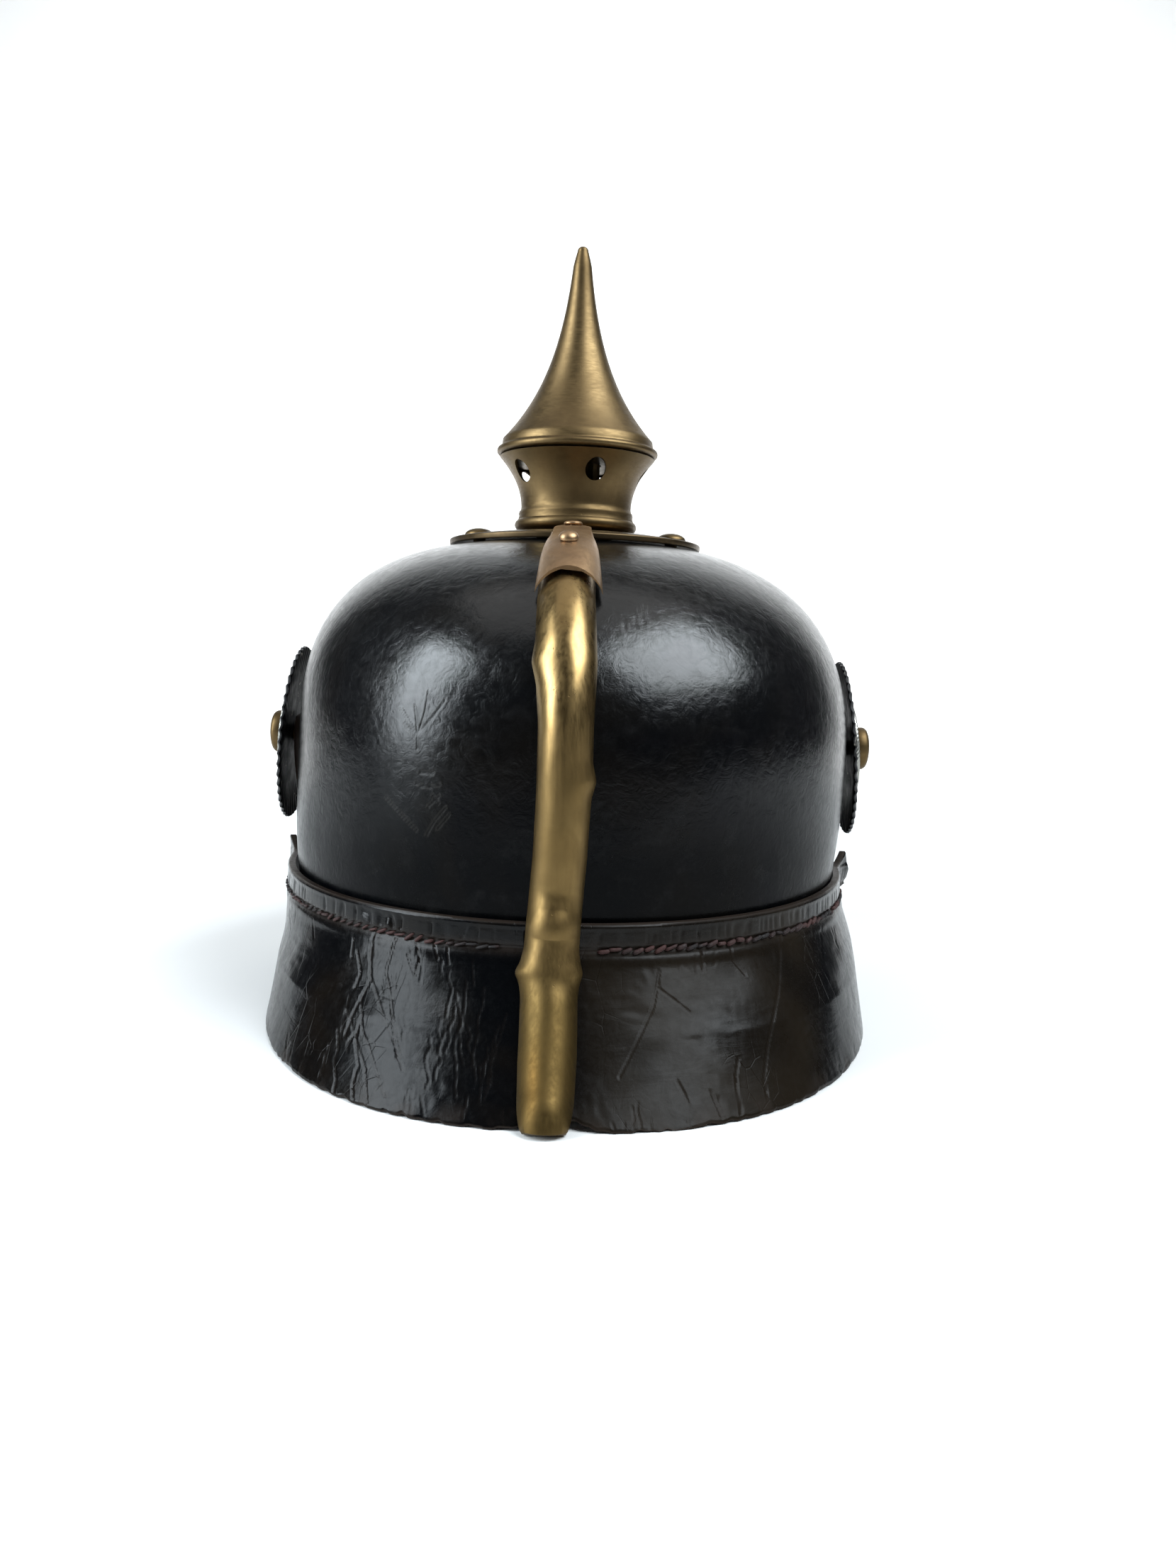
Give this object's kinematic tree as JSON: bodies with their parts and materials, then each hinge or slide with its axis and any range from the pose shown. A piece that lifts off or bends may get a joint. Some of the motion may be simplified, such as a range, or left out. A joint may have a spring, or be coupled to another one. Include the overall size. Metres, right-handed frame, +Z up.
{
  "type": "firefighter helmet",
  "caption": "Spiked black leather helmet with a flared neck guard, front visor, brass spine and spike, side cockades and a chin strap that swings.",
  "frame": {"origin": "on the floor, in the middle of the helmet's length and width, under the spike's axis", "axes": "+Z up along the spike; +Y towards the rear, where the neck guard and spine are; the visor faces -Y; +X is the wearer's left"},
  "size_m": [0.2154, 0.2997, 0.2588],
  "materials": {
    "black_leather": "glossy polished black",
    "strap_leather": "dark brown, worn",
    "liner_leather": "matt tan",
    "aged_brass": "satin, darkened with age",
    "bright_brass": "satin, polished on the high spots",
    "copper_brass": "satin, reddish",
    "black_enamel": "semi-gloss black",
    "silver": "satin silver",
    "steel": "dull",
    "thread": "waxed, matt"
  },
  "bodies": {
    "helmet": {"skull": "black_leather", "neck_guard": "black_leather", "front_visor": "black_leather", "visor_trim": "bright_brass", "rear_spine": "bright_brass", "front_plate": "bright_brass", "plate_screw_left": "bright_brass", "plate_screw_right": "bright_brass", "guard_thread_left": "thread", "guard_thread_right": "thread", "visor_thread": "thread", "spine_clip": "copper_brass", "clip_rivet_upper": "copper_brass", "clip_rivet_lower": "copper_brass", "base_plate": "aged_brass", "stud_left": "aged_brass", "stud_right": "aged_brass", "stud_front": "aged_brass", "spike_neck": "aged_brass", "neck_bush": "aged_brass", "side_screw_left": "aged_brass", "side_screw_right": "aged_brass", "stud_washer_left": "steel", "stud_washer_right": "steel", "stud_washer_front": "steel", "stud_washer_rear": "steel", "side_nut_left": "steel", "side_nut_right": "steel", "plate_nut_left": "steel", "plate_nut_right": "steel", "crown_disc": "strap_leather", "cockade_left": "black_enamel", "cockade_right": "black_enamel", "cockade_ring_left": "silver", "cockade_ring_right": "silver", "cockade_washer_left": "silver", "cockade_washer_right": "silver", "sweatband": "liner_leather", "liner_fingers": "liner_leather"},
    "chin_strap": {"chin_strap_left": "strap_leather", "chin_strap_right": "strap_leather"},
    "buckle_left": {"strap_buckle_left": "aged_brass"},
    "buckle_right": {"strap_buckle_right": "aged_brass"},
    "spike_lift": {"spike_stem": "aged_brass"},
    "spike_turn": {"spike_cone": "aged_brass"}
  },
  "joints": [
    {"name": "chin_strap_swing", "type": "hinge", "parent": "helmet", "child": "chin_strap", "pos_m": [0, 0, 0.0875], "axis": [-1, 0, 0], "range_deg": [0, 70]},
    {"name": "buckle_left_slide", "type": "hinge", "parent": "chin_strap", "child": "buckle_left", "pos_m": [-0.00121, -0.04516, 0.0574], "axis": [0, 0, 1], "range_deg": [-8, 4]},
    {"name": "buckle_right_slide", "type": "hinge", "parent": "chin_strap", "child": "buckle_right", "pos_m": [0.00121, -0.04516, 0.0574], "axis": [0, 0, -1], "range_deg": [-8, 4]},
    {"name": "spike_rise", "type": "slide", "parent": "helmet", "child": "spike_lift", "axis": [0, 0, 1], "range_m": [0, 0.0075]},
    {"name": "spike_unscrew", "type": "hinge", "parent": "spike_lift", "child": "spike_turn", "pos_m": [0, 0, 0.1872], "axis": [0, 0, 1], "range_deg": [0, 1080]}
  ],
  "couplings": [
    {"joint": "spike_rise", "follows": "spike_unscrew", "m_per_rad": 0.00039788}
  ]
}
